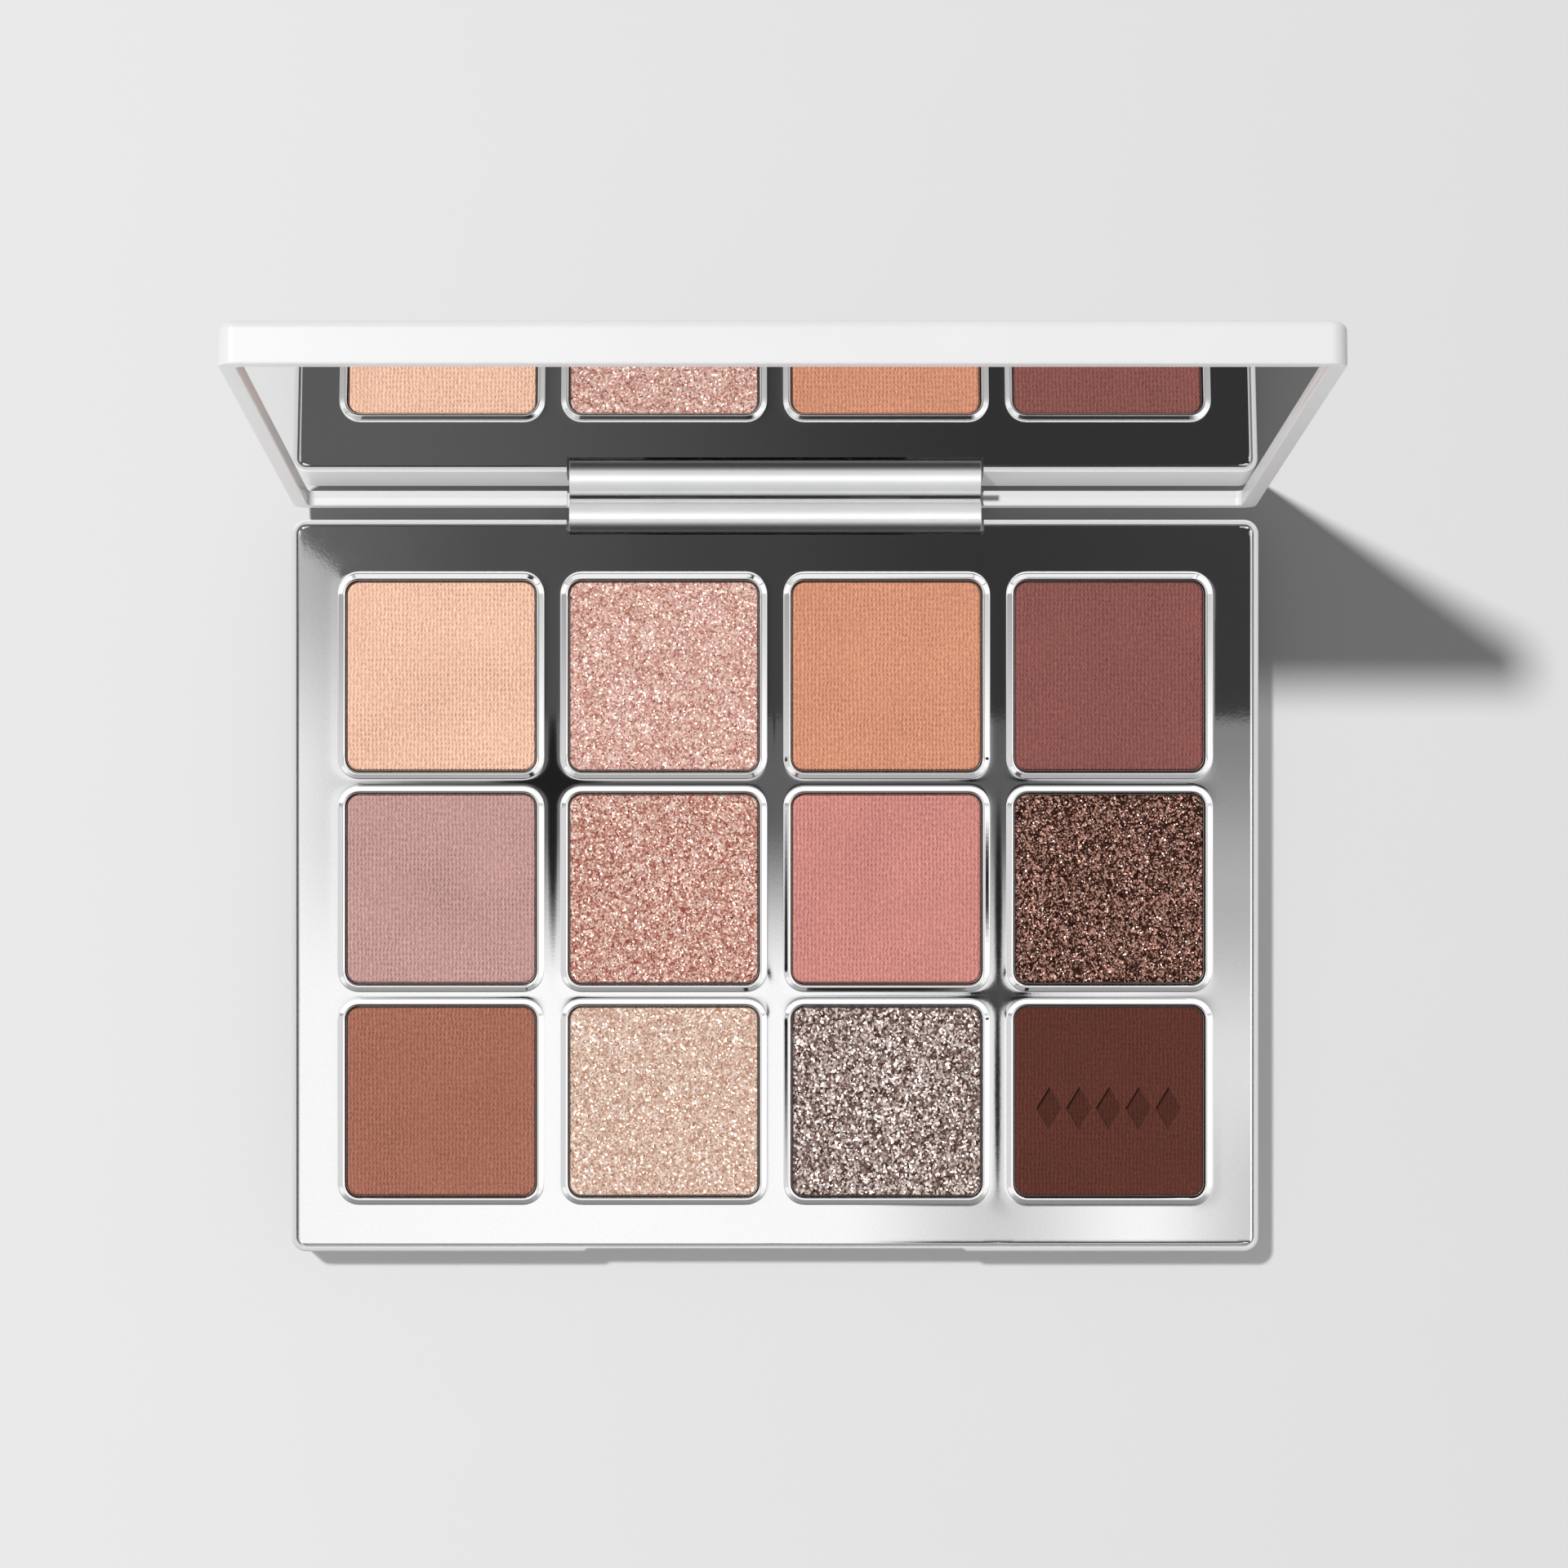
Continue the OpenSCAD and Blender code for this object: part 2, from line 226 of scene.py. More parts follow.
def cut(obj, *cutters, sharp=32):
    """Takes the cutters' volumes out of obj and applies the result."""
    for k, parts in enumerate(cutters):
        tool = make(f"cutter_{k}", parts, smooth=False)
        boolean = obj.modifiers.new(f"cut_{k}", "BOOLEAN")
        boolean.operation = "DIFFERENCE"
        boolean.solver = "EXACT"
        boolean.object = tool
    while "weighted" in obj.modifiers:
        obj.modifiers.remove(obj.modifiers["weighted"])
    bpy.context.view_layer.update()
    depsgraph = bpy.context.evaluated_depsgraph_get()
    result = bpy.data.meshes.new_from_object(obj.evaluated_get(depsgraph))
    for modifier in [m for m in obj.modifiers if m.type == "BOOLEAN"]:
        tool = modifier.object
        obj.modifiers.remove(modifier)
        bpy.data.objects.remove(tool)
    result.name = obj.data.name
    obj.data = result
    soften(obj, sharp)
    return obj


def smoothstep(x, low, high):
    """0 under low, 1 over high, smooth between."""
    t = np.clip((np.asarray(x, float) - low) / (high - low), 0, 1)
    return t * t * (3 - 2 * t)


def place(obj, body, *nodes, slot=None):
    """Rides obj on a body, in place of CAD nodes."""
    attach(obj, body)
    if nodes:
        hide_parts(*nodes)
    return obj


def lid_matrix():
    """Turns the lid from closed, drawn about the hinge axis, to where it rests."""
    return Matrix.Translation(Vector(AXIS)) @ Matrix.Rotation(-OPEN_ANGLE, 4, "X")


def on_lid(parts):
    """Vertices drawn closed about the axis, moved to the open lid."""
    verts, faces = parts
    m = np.array(lid_matrix())
    return np.asarray(verts) @ m[:3, :3].T + m[:3, 3], faces


def swing_open(obj):
    """Moves a piece drawn closed about the axis to the open lid."""
    obj.data.transform(Matrix.Scale(MM, 4) @ lid_matrix() @ Matrix.Scale(1 / MM, 4))


# ---- materials ----


def feed(links, socket, value):
    """Links a socket to another, or sets its value; a colour may leave out its alpha."""
    if isinstance(value, bpy.types.NodeSocket):
        links.new(value, socket)
    elif isinstance(value, tuple) and len(value) == 3 and socket.type == "RGBA":
        socket.default_value = (*value, 1)
    else:
        socket.default_value = value


class Shader:
    """A material with one Principled node, and short ways to add nodes to it."""

    def __init__(self, name, **sockets):
        self.mat = bpy.data.materials.new(name)
        self.mat.use_nodes = True
        self.nodes = self.mat.node_tree.nodes
        self.links = self.mat.node_tree.links
        self.bsdf = self.nodes["Principled BSDF"]
        self.set(self.bsdf, **sockets)
        self.coords = self.add("ShaderNodeTexCoord").outputs["Object"]

    def set(self, node, **sockets):
        """Sets sockets by name, with spaces as underscores."""
        for key, value in sockets.items():
            feed(self.links, node.inputs[key.replace("_", " ")], value)

    def add(self, kind, inputs=None, **settings):
        """A node with its settings, and inputs that are sockets to link or values."""
        node = self.nodes.new(kind)
        for key, value in settings.items():
            setattr(node, key, value)
        for key, value in (inputs or {}).items():
            feed(self.links, node.inputs[key], value)
        return node

    def link(self, output, key):
        """Links an output to a socket of the Principled node."""
        self.links.new(output, self.bsdf.inputs[key])

    def math(self, operation, a, b=0.0, c=0.0):
        """A math node's output."""
        return self.add("ShaderNodeMath", {0: a, 1: b, 2: c}, operation=operation).outputs[0]

    def vector(self, operation, a, b=None, scale=None):
        """A vector math node's output."""
        inputs = {0: a}
        if b is not None:
            inputs[1] = b
        if scale is not None:
            inputs["Scale"] = scale
        return self.add("ShaderNodeVectorMath", inputs, operation=operation).outputs[0]

    def noise(self, scale, detail=3.0, roughness=0.5):
        """Noise from 0 to 1 over the object, scale in features a metre."""
        return self.add("ShaderNodeTexNoise", {"Vector": self.coords, "Scale": scale, "Detail": detail,
                                               "Roughness": roughness}).outputs["Fac"]

    def ramp(self, fac, *stops):
        """A colour ramp's output; stops are (place, colour or grey)."""
        node = self.add("ShaderNodeValToRGB", {"Fac": fac})
        elements = node.color_ramp.elements
        while len(elements) < len(stops):
            elements.new(0.5)
        for element, (at, value) in zip(elements, stops):
            element.position = at
            element.color = (*value, 1) if isinstance(value, tuple) else (value, value, value, 1)
        return node.outputs["Color"]

    def span(self, fac, low, high):
        """Maps 0..1 to low..high."""
        return self.add("ShaderNodeMapRange", {"Value": fac, "To Min": low, "To Max": high}).outputs[0]

    def bump(self, height, distance, strength=1.0):
        """A bump node's normal; distance in metres."""
        inputs = {"Height": height, "Distance": distance, "Strength": strength}
        return self.add("ShaderNodeBump", inputs).outputs["Normal"]


def white_plastic(name, white):
    """Satin-gloss white moulding with a faint mould texture and slight handling haze."""
    s = Shader(name, IOR=1.5, Coat_Weight=0.15, Coat_Roughness=0.15)
    s.link(s.span(s.noise(260, 4), 0.30, 0.42), "Roughness")
    dull = (white - 0.01, white - 0.01, white - 0.005)
    s.link(s.ramp(s.noise(35, 2), (0.3, dull), (0.7, white + 0.01)), "Base Color")
    s.link(s.bump(s.noise(5200, 2), 0.000004, 0.5), "Normal")
    return s.mat


def satin_chrome():
    """Metallised tray: bright metal with a very fine grain."""
    s = Shader("satin_chrome", Base_Color=(0.90, 0.90, 0.905), Metallic=1.0)
    s.link(s.span(s.noise(900, 5), 0.015, 0.035), "Roughness")
    s.link(s.ramp(s.noise(5200, 4, 0.8), (0.25, 0.86), (0.75, 0.95)), "Base Color")
    s.link(s.bump(s.noise(2500, 3), 0.00000025, 1.0), "Normal")
    return s.mat


def polished_chrome():
    """Plated barrel, polished along its length."""
    s = Shader("polished_chrome", Base_Color=(0.88, 0.88, 0.89), Metallic=1.0)
    stretched = s.add("ShaderNodeMapping", {"Vector": s.coords, "Scale": (20.0, 4000.0, 4000.0)}).outputs[0]
    streaks = s.add("ShaderNodeTexNoise", {"Vector": stretched, "Scale": 1.0, "Detail": 3.0}).outputs["Fac"]
    s.link(s.span(streaks, 0.26, 0.32), "Roughness")
    s.link(s.ramp(s.noise(80, 2), (0.3, (0.86, 0.86, 0.87)), (0.7, (0.90, 0.90, 0.905))), "Base Color")
    s.link(s.bump(streaks, 0.0000004, 0.6), "Normal")
    return s.mat


def plain_steel(name, grey, low, high):
    """Steel with fine grain; low and high are its roughness."""
    s = Shader(name, Metallic=1.0)
    s.link(s.span(s.noise(1400, 4), low, high), "Roughness")
    s.link(s.ramp(s.noise(300, 3), (0.3, grey * 0.93), (0.7, grey * 1.05)), "Base Color")
    s.link(s.bump(s.noise(5000, 3), 0.000004, 0.6), "Normal")
    return s.mat


def silvered_glass():
    """The mirror: flat and clear, with the faintest trace of wiping."""
    s = Shader("silvered_glass", Base_Color=(0.93, 0.935, 0.935), Metallic=1.0)
    s.link(s.span(s.noise(70, 3), 0.0, 0.012), "Roughness")
    s.link(s.ramp(s.noise(25, 2), (0.3, (0.925, 0.93, 0.93)), (0.7, (0.94, 0.945, 0.945))), "Base Color")
    return s.mat


def paper():
    """Blank matte label."""
    s = Shader("label_paper", Roughness=0.8)
    s.link(s.ramp(s.noise(900, 5), (0.3, (0.78, 0.78, 0.77)), (0.7, (0.84, 0.84, 0.83))), "Base Color")
    s.link(s.bump(s.noise(7000, 3), 0.00001, 0.5), "Normal")
    return s.mat


def soft_glue():
    """Milky glue under the pans and behind the mirror."""
    s = Shader("soft_glue", Roughness=0.5)
    s.link(s.ramp(s.noise(700, 3), (0.3, (0.62, 0.60, 0.55)), (0.7, (0.72, 0.70, 0.66))), "Base Color")
    s.link(s.bump(s.noise(1500, 2), 0.00003, 0.5), "Normal")
    return s.mat


def moulded_plate():
    """Inner plate of the lid."""
    s = Shader("moulded_plate", Roughness=0.6)
    s.link(s.ramp(s.noise(200, 3), (0.3, (0.76, 0.76, 0.76)), (0.7, (0.82, 0.82, 0.82))), "Base Color")
    s.link(s.bump(s.noise(4000, 2), 0.00001, 0.4), "Normal")
    return s.mat


POWDER_TOP = box_mm("shadow_chocolate")[1][2] * MM
WEAVE_X = 0.47 * MM  # pitch of the press cloth's dimples along X and along Y
WEAVE_Y = 0.62 * MM


def weave_height(s):
    """Ribs and dimples that the press cloth leaves, about -1 to 1, fainter in places."""
    split = s.add("ShaderNodeSeparateXYZ", {0: s.coords}).outputs
    waver = s.math("MULTIPLY", s.math("SUBTRACT", s.noise(700, 2), 0.5), 1.1)
    columns = s.math("ADD", s.math("DIVIDE", split["X"], WEAVE_X), waver)
    rows = s.math("ADD", s.math("DIVIDE", split["Y"], WEAVE_Y), waver)
    across = s.math("SINE", s.math("MULTIPLY", columns, 2 * math.pi))
    down = s.math("SINE", s.math("MULTIPLY", rows, 2 * math.pi))
    firm = s.span(s.noise(180, 2), 0.3, 1.5)
    return s.math("MULTIPLY", s.math("MULTIPLY", across, s.math("MULTIPLY_ADD", down, 0.45, 0.6)), firm)


def matte_powder(name, colour, depth=0.00005, sheen=0.08, variation=0.05):
    """Pressed matte powder: cloth texture, fine grain, uneven colour; painted shade darkens the cloth's pits
    and the stamped-in recess.
    """
    s = Shader(name, Roughness=0.92, Sheen_Weight=sheen, Sheen_Roughness=0.5)
    s.set(s.bsdf, Specular_IOR_Level=0.15)
    dark = tuple(c * (1 - variation) for c in colour)
    light = tuple(min(1, c * (1 + variation)) for c in colour)
    cloud = s.ramp(s.noise(110, 3, 0.5), (0.3, dark), (0.7, light))
    grain = s.span(s.noise(2200, 3, 0.8), 0.35, 1.65)
    # painted shade: the press cloth's pits are darkened in the colour, as if shaded
    pit_shade = s.math("ADD", 1.0, s.math("MULTIPLY", weave_height(s), 0.28))
    z = s.add("ShaderNodeSeparateXYZ", {0: s.coords}).outputs["Z"]
    # painted shade: the colour darkens with depth below the powder's top, so the stamped recess looks shaded
    recess_shade = s.add("ShaderNodeMapRange", {"Value": z, "From Min": POWDER_TOP - 0.5 * MM,
                                           "From Max": POWDER_TOP - 0.15 * MM, "To Min": 0.7}).outputs[0]
    tone = s.math("MULTIPLY", s.math("MULTIPLY", grain, pit_shade), recess_shade)
    s.link(s.vector("SCALE", cloud, scale=tone), "Base Color")
    height = s.math("ADD", weave_height(s), s.math("MULTIPLY", s.noise(7000, 3, 0.7), 1.2))
    s.link(s.bump(height, depth, 1.0), "Normal")
    return s.mat


def shimmer_powder(name, dark, middle, light, size, share, tilt):
    """Pressed shimmer: grains from dark to light, and among them metallic platelets at every angle."""
    s = Shader(name, Roughness=0.75)
    s.set(s.bsdf, Specular_IOR_Level=0.1)
    cells = s.add("ShaderNodeTexVoronoi", {"Vector": s.coords, "Scale": 1 / size, "Randomness": 1.0})
    cell = cells.outputs["Color"]
    parts = s.add("ShaderNodeSeparateColor", {0: cell}).outputs
    chosen = s.math("LESS_THAN", parts["Red"], share)
    lean = s.vector("SCALE", s.vector("SUBTRACT", cell, (0.5, 0.5, 0.5)), scale=tilt)
    normal = s.add("ShaderNodeNewGeometry").outputs["Normal"]
    facet = s.vector("NORMALIZE", s.vector("ADD", normal, lean))
    clumps = s.math("SUBTRACT", s.noise(1100, 3, 0.6), 0.5)
    tone = s.math("ADD", parts["Green"], s.math("MULTIPLY", clumps, 0.9))
    s.link(s.ramp(tone, (0.0, dark), (0.5, middle), (1.0, light)), "Base Color")
    s.link(s.math("MULTIPLY", chosen, 0.85), "Metallic")
    s.link(s.span(chosen, 0.8, 0.48), "Roughness")
    pressed = s.bump(s.math("ADD", weave_height(s), s.noise(6000, 3, 0.7)), 0.000016, 1.0)
    mixed = s.add("ShaderNodeMix", {"Factor": chosen, 4: pressed, 5: facet}, data_type="VECTOR").outputs[1]
    s.link(mixed, "Normal")
    return s.mat


def loose_flakes(name, colour, rough=0.3):
    """Bright platelets lying on a glitter."""
    s = Shader(name, Metallic=1.0)
    random_tone = s.add("ShaderNodeNewGeometry").outputs["Random Per Island"]
    dark = tuple(c * 0.8 for c in colour)
    s.link(s.ramp(random_tone, (0.0, dark), (0.75, colour), (1.0, (0.98, 0.96, 0.95))), "Base Color")
    s.link(s.span(random_tone, rough, rough + 0.12), "Roughness")
    return s.mat


# ---- base ----


def notch_push(x, z):
    """How far the thumb notch sets the front edge back."""
    across = 1 - smoothstep(np.abs(x), NOTCH_W / 2 - 0.5, NOTCH_W / 2 + 0.1)
    return NOTCH_D * across * smoothstep(z, BASE_H / 2 - 0.2, BASE_H / 2 + 0.4)


def shell_ring(inset, z, cuts, notched=True):
    """One outline of the base shell, drawn in by inset, with the thumb notch."""
    points = outline(BASE_W - 2 * inset, BASE_D - 2 * inset, max(CORNER_R - inset, 0.4), cuts=cuts)
    front = points[:, 1] < -BASE_D / 2 + inset + 0.001
    if notched:
        points[front, 1] += notch_push(points[front, 0], z)
    return ring(points, z)


def base_shell(material):
    """White shell: rounded lower edge, thin rim, thumb notch and hinge channel."""
    cuts = [NOTCH_W / 2 + step for step in (-0.6, -0.45, -0.35, -0.25, -0.1, 0.05, 0.15)]
    foot_r, rim_r, inner_r = 0.5, 0.2, 0.1
    label = outline(LABEL[0], LABEL[1], CORNER_R, cuts=cuts)
    rings = [ring(label, LABEL[2]), ring(label, 0)]
    rings += [shell_ring(foot_r + c, foot_r + s, cuts) for c, s in arc_profile(foot_r, 270, 180, 6)]
    heights = [BASE_H / 2 + step for step in (-0.3, -0.2, -0.05, 0.1, 0.25, 0.4, 0.5)]
    rings += [shell_ring(0, z, cuts) for z in heights]
    rings += [shell_ring(rim_r + c, BASE_H - rim_r + s, cuts) for c, s in arc_profile(rim_r, 180, 90, 6)]
    rings += [shell_ring(RIM_W - inner_r + c, BASE_H - inner_r + s, cuts, notched=False)
              for c, s in arc_profile(inner_r, 90, 0, 4)]
    rings += [shell_ring(inset, z, cuts, notched=False)
              for inset, z in ((RIM_W, TRAY_SEAT), (WALL_T, TRAY_SEAT), (WALL_T, FLOOR_T))]
    posts = []
    for magnet_x, magnet_y in magnet_places():
        post_w, post_d, top, pocket = MAGNET_POST
        sizes = [(post_w, post_d, FLOOR_T - 0.01), (post_w, post_d, top), (*MAGNET, top), (*MAGNET, pocket)]
        posts.append(loft([ring(outline(w, d, 0.2, 3) + (magnet_x, magnet_y), z) for w, d, z in sizes]))
    shell = make("white_base_shell", joined(loft(rings), *posts), material)
    channel = barrel_channel(AXIS[1:])
    slots = [box_mesh((side * ARM_X - POCKET_W / 2, AXIS[1] - WALL_T - 0.5, FLOOR_T + 0.001),
                      (side * ARM_X + POCKET_W / 2, AXIS[1] + 1, AXIS[2])) for side in (-1, 1)]
    cut(shell, channel, *slots)
    return place(shell, "base", "base_shell", slot="white_plastic")


def magnet_places():
    """Centres of the two closing magnets in the base."""
    low, high = box_mm("base_magnets")
    y = (low[1] + high[1]) / 2
    return [(low[0] + MAGNET[0] / 2, y), (high[0] - MAGNET[0] / 2, y)]


# ---- tray ----

WELL_CENTRES = [(low + high)[:2] / 2 for low, high in PAN_BOXES]
COLUMN_X = sorted({round(float(c[0]), 3) for c in WELL_CENTRES})
ROW_Y = sorted({round(float(c[1]), 3) for c in WELL_CENTRES})


def edges_between(centres, low, high):
    """Lines halfway between neighbouring wells, with the tray's own edges at the ends."""
    return [low] + [(a + b) / 2 for a, b in zip(centres, centres[1:])] + [high]


def square_path(half, r, fractions):
    """Points round a round-cornered square, from the lower right corner's middle, anticlockwise.

    Each side runs from the middle of one corner to the middle of the next, at the given fractions."""
    straight = 2 * (half - r)
    quarter = r * math.pi / 4
    length = straight + 2 * quarter
    side = []
    for f in fractions:
        at = f * length
        if at < quarter:
            a = -math.pi / 4 + at / max(r, 1e-6)
            side.append((half - r + r * math.cos(a), -(half - r) + r * math.sin(a)))
        elif at > length - quarter:
            a = (at - length + quarter) / max(r, 1e-6)
            side.append((half - r + r * math.cos(a), half - r + r * math.sin(a)))
        else:
            side.append((half, -(half - r) + at - quarter))
    side = np.array(side)
    turns = [np.array([[math.cos(q), -math.sin(q)], [math.sin(q), math.cos(q)]])
             for q in (0, math.pi / 2, math.pi, 3 * math.pi / 2)]
    return np.concatenate([side @ turn.T for turn in turns])


def rectangle_path(x0, x1, y0, y1, fractions):
    """Points round a rectangle, to match square_path side by side."""
    f = np.array(fractions)
    sides = [(x1 + 0 * f, y0 + f * (y1 - y0)), (x1 - f * (x1 - x0), y1 + 0 * f),
             (x0 + 0 * f, y1 - f * (y1 - y0)), (x0 + f * (x1 - x0), y0 + 0 * f)]
    return np.concatenate([np.column_stack(side) for side in sides])


def well_distance(points):
    """Distance outside the nearest well opening, blended where two wells are about as near."""
    blend = 0.22
    total = np.zeros(len(points))
    for centre in WELL_CENTRES:
        q = np.abs(points - centre) - (WELL_W / 2 - WELL_R)
        outside = np.linalg.norm(np.maximum(q, 0), axis=1) + np.minimum(np.max(q, axis=1), 0) - WELL_R
        total += np.exp(-outside / blend)
    return -blend * np.log(total)


LIP_INNER = 0.28     # distance from the opening to the lip's crest
LIP_OUTER = 0.86     # and to its foot
LIP_FILLET = 0.03
LIP_SLOPE = math.tan(math.radians(10.0))
LIP_STEP = LIP_H - LIP_SLOPE * (LIP_OUTER - LIP_INNER)
LIP_SAG = 0.008      # the valleys between the wells are very slightly hollow
TRAY_ROLL = 1.0      # width of the strip that rolls down to the tray's edge
TRAY_EDGE_R = 0.15


def eased(x):
    """x where it is positive, 0 where it is negative, with a small fillet between."""
    return 0.5 * (x + np.sqrt(x * x + LIP_FILLET ** 2))


def tray_height(points):
    """Height of the tray's face: a low bevelled lip about each well, flats between, and a rolled edge."""
    d = well_distance(points)
    lip = LIP_SLOPE * (eased(LIP_OUTER - d) - eased(LIP_INNER - d))
    lip += LIP_STEP * smoothstep(LIP_OUTER + 0.03 - d, 0, 0.07)
    lip += LIP_SAG * np.exp(-np.maximum(d - LIP_OUTER, 0) / 0.4)
    inner = np.clip((LIP_INNER - d) / LIP_INNER, 0, 1)
    lip -= 0.2 * (1 - np.sqrt(np.clip(1 - inner ** 2, 0, 1)))
    front, back = TRAY_D / 2 + points[:, 1], TRAY_D / 2 - points[:, 1]
    lip -= 0.013 * np.clip(1 - front / TRAY_ROLL, 0, 1) ** 2
    edge = np.minimum(np.minimum(TRAY_W / 2 - np.abs(points[:, 0]), front), 2.5 * back)
    over = np.clip((TRAY_EDGE_R - edge) / TRAY_EDGE_R, 0, 1)
    return TRAY_TOP + lip - TRAY_EDGE_R * (1 - np.sqrt(np.clip(1 - over ** 2, 0, 1)))


def round_tray_corner(points):
    """Draws points beyond the tray's corner arcs in onto the arcs."""
    r = CORNER_R - RIM_W
    centre = np.array([TRAY_W / 2 - r, TRAY_D / 2 - r])
    beyond = np.abs(points) - centre
    outside = (beyond > 0).all(axis=1)
    length = np.linalg.norm(beyond, axis=1)
    over = outside & (length > r)
    scale = np.where(over, r / np.maximum(length, 1e-9), 1)
    moved = np.sign(points) * (centre + beyond * scale[:, None])
    return np.where(over[:, None], moved, points)


def tray_cell(centre, x0, x1, y0, y1):
    """The tray round one well: upper face, lip, well, and underside, up to the cell's edges."""
    side = 36
    fractions = [0.5 - 0.5 * math.cos(math.pi * k / side) for k in range(side)]
    border = round_tray_corner(rectangle_path(x0, x1, y0, y1, fractions))
    path = lambda grow: square_path(WELL_W / 2 + grow, WELL_R + grow, fractions) + centre
    upper = [border + (path(1.22) - border) * share
             for share in (0, 0.012, 0.03, 0.06, 0.12, 0.24, 0.4, 0.55, 0.7, 0.82, 0.91, 1)]
    upper += [path(grow) for grow in (1.1, 1.0, 0.93, 0.895, 0.875, 0.855, 0.835, 0.815, 0.78, 0.7, 0.55, 0.4,
                                      0.33, 0.3, 0.27, 0.23, 0.17, 0.12, 0.07, 0.03, 0.01, 0.0)]
    rings = [np.column_stack([p, tray_height(p)]) for p in upper]
    rings += [ring(path(0), z) for z in (TRAY_TOP - 0.3, WELL_FLOOR + 0.3)]
    rings += [ring(path(-0.1), WELL_FLOOR + 0.08), ring(path(-0.3), WELL_FLOOR)]
    lower = [ring(border, TRAY_SEAT), ring(path(WELL_WALL), TRAY_SEAT),
             ring(path(WELL_WALL), WELL_FLOOR - 0.45), ring(path(WELL_WALL - 0.15), WELL_FLOOR - 0.6)]
    verts, faces = joined(loft(rings, cap_first=False), loft(lower, cap_first=False))
    below = len(border) * len(rings)
    outer = [x1 > TRAY_W / 2 - 0.01, y1 > TRAY_D / 2 - 0.01, x0 < 0.01 - TRAY_W / 2, y0 < 0.01 - TRAY_D / 2]
    for i in range(4 * side):
        if outer[i // side]:
            j = (i + 1) % (4 * side)
            faces.append((i, j, below + j, below + i))
    return verts, faces


def pan_tray(material):
    """Chrome tray with twelve lipped wells, its hinge channel cut at the back."""
    xs = edges_between(COLUMN_X, -TRAY_W / 2, TRAY_W / 2)
    ys = edges_between(ROW_Y, -TRAY_D / 2, TRAY_D / 2)
    cells = [tray_cell(np.array([COLUMN_X[i], ROW_Y[j]]), xs[i], xs[i + 1], ys[j], ys[j + 1])
             for i in range(len(COLUMN_X)) for j in range(len(ROW_Y))]
    tray = make("chrome_tray", joined(*cells), material, smooth=False)
    bm = bmesh.new()
    bm.from_mesh(tray.data)
    bmesh.ops.remove_doubles(bm, verts=bm.verts, dist=0.0002 * MM)
    bmesh.ops.recalc_face_normals(bm, faces=bm.faces)
    bm.to_mesh(tray.data)
    bm.free()
    channel = barrel_channel(AXIS[1:])
    cut(tray, channel, sharp=50)
    return place(tray, "base", "pan_tray", slot="tray_chrome")


# ---- pans and powders ----

POWDER_EDGE_R = 0.22
EMBOSS_H = 0.5
LOZENGE_PITCH = 3.7
LOZENGE = (1.65, 2.7)    # half width and half height
LOZENGE_Y = -0.9


def pressed_pan(i, material):
    """Thin metal pan with a rounded edge."""
    low, high = PAN_BOXES[i]
    centre = (low + high)[:2] / 2
    r = WELL_R - (WELL_W - PAN_W) / 2
    edge = PAN_T / 2
    steps = [(0.25, low[2]), (0.08, low[2] + 0.08), (0, low[2] + 0.25), (0, high[2] - edge)]
    steps += [(edge + c, high[2] - edge + s) for c, s in arc_profile(edge, 180, 0, 9)]
    steps += [(PAN_T, low[2] + PAN_T)]
    rings = [ring(outline(PAN_W - 2 * inset, PAN_W - 2 * inset, max(r - inset, 0.3)) + centre, z)
             for inset, z in steps]
    pan = make(f"metal_pan_{i + 1}", loft(rings), material, sharp=50)
    return place(pan, "base", f"pan_{i + 1}", slot="pan_metal")


def smooth_noise(n, cells, rng):
    """An n by n field from -1 to 1 that wanders over the given number of cells."""
    knots = rng.uniform(-1, 1, (cells + 3, cells + 3))
    t = np.linspace(0, cells, n)
    k = t.astype(int)
    f = t - k
    w = f * f * (3 - 2 * f)
    rows = knots[k] * (1 - w)[:, None] + knots[k + 1] * w[:, None]
    return rows[:, k] * (1 - w) + rows[:, k + 1] * w


def motif(x, y):
    """How deeply each point of a powder is stamped, from 0 to 1: a row of five lozenges."""
    best = np.full(x.shape, -9.0)
    for k in range(-2, 3):
        dx, dy = np.abs(x - k * LOZENGE_PITCH), np.abs(y - LOZENGE_Y)
        best = np.maximum(best, (1 - dx / LOZENGE[0] - dy / LOZENGE[1]) * 1.4)
    return smoothstep(best, -0.02, 0.14)


